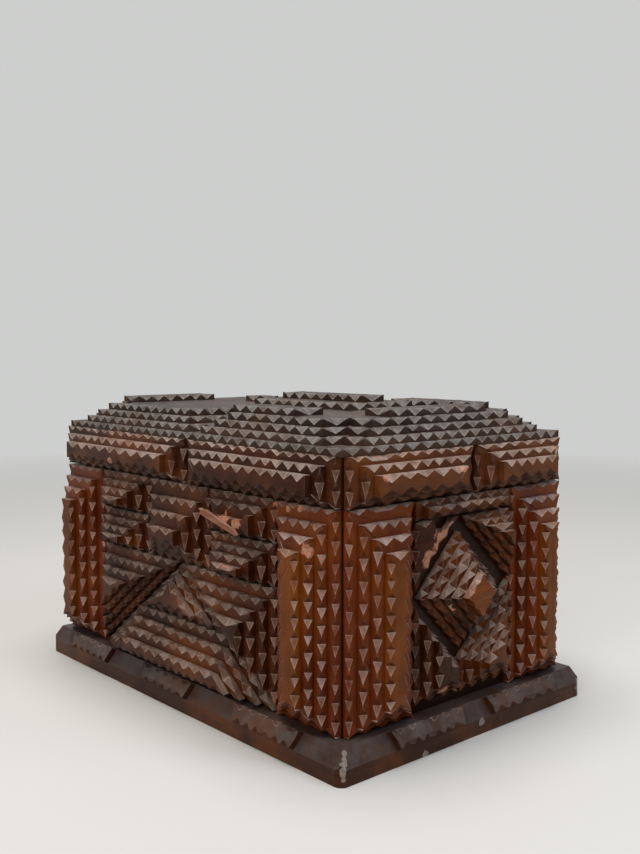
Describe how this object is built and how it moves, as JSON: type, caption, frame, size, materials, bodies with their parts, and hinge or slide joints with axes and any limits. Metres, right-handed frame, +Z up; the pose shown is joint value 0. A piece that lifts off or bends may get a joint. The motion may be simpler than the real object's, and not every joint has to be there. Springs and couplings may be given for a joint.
{
  "type": "carved wooden box with hinged lid",
  "caption": "Rectangular wooden box with a hinged lid, covered all over in stepped stacks of thin boards with notched edges, on a bevelled plinth.",
  "frame": {"origin": "on the table, under the middle of the plinth", "axes": "+X to the right along the long side, -Y out of the front, +Z up"},
  "size_m": [0.2728, 0.18, 0.1601],
  "materials": {
    "carved_wood": "satin",
    "dusty_wood": "satin",
    "plinth_wood": "satin",
    "plain_wood": "satin",
    "brass": "satin"
  },
  "bodies": {
    "box": {"plinth_core": "plain_wood", "plinth_front": "plinth_wood", "plinth_back": "plinth_wood", "plinth_left": "plinth_wood", "plinth_right": "plinth_wood", "plinth_bars": "plinth_wood", "bottom_board": "plain_wood", "wall_front": "plain_wood", "wall_back": "plain_wood", "wall_left": "plain_wood", "wall_right": "plain_wood", "front_layer_1": "carved_wood", "front_layer_2": "carved_wood", "front_layer_3": "carved_wood", "front_layer_4": "carved_wood", "back_layer_1": "carved_wood", "back_layer_2": "carved_wood", "back_layer_3": "carved_wood", "back_layer_4": "carved_wood", "left_layer_1": "carved_wood", "left_layer_2": "carved_wood", "left_layer_3": "carved_wood", "left_layer_4": "carved_wood", "left_layer_5": "carved_wood", "right_layer_1": "carved_wood", "right_layer_2": "carved_wood", "right_layer_3": "carved_wood", "right_layer_4": "carved_wood", "right_layer_5": "carved_wood", "hinge_leaf_box": "brass", "hinge_pins": "brass", "hinge_screws_box": "brass"},
    "lid": {"lid_rail_front": "plain_wood", "lid_rail_back": "plain_wood", "lid_rail_left": "plain_wood", "lid_rail_right": "plain_wood", "lid_board": "plain_wood", "lid_cover": "dusty_wood", "rim_front_1": "carved_wood", "rim_front_2": "carved_wood", "rim_front_3": "carved_wood", "rim_back_1": "carved_wood", "rim_back_2": "carved_wood", "rim_back_3": "carved_wood", "rim_left_1": "carved_wood", "rim_left_2": "carved_wood", "rim_left_3": "carved_wood", "rim_right_1": "carved_wood", "rim_right_2": "carved_wood", "rim_right_3": "carved_wood", "lid_left_1": "dusty_wood", "lid_left_2": "dusty_wood", "lid_left_3": "dusty_wood", "lid_right_1": "dusty_wood", "lid_right_2": "dusty_wood", "lid_right_3": "dusty_wood", "lid_top_bars": "dusty_wood", "lid_centre": "dusty_wood", "lid_centre_bar": "dusty_wood", "hinge_leaf_lid": "brass", "hinge_screws_lid": "brass"}
  },
  "joints": [
    {"name": "lid_hinge", "type": "hinge", "parent": "box", "child": "lid", "pos_m": [0, 0.0813, 0.1158], "axis": [-1, 0, 0], "range_deg": [0, 95]}
  ]
}
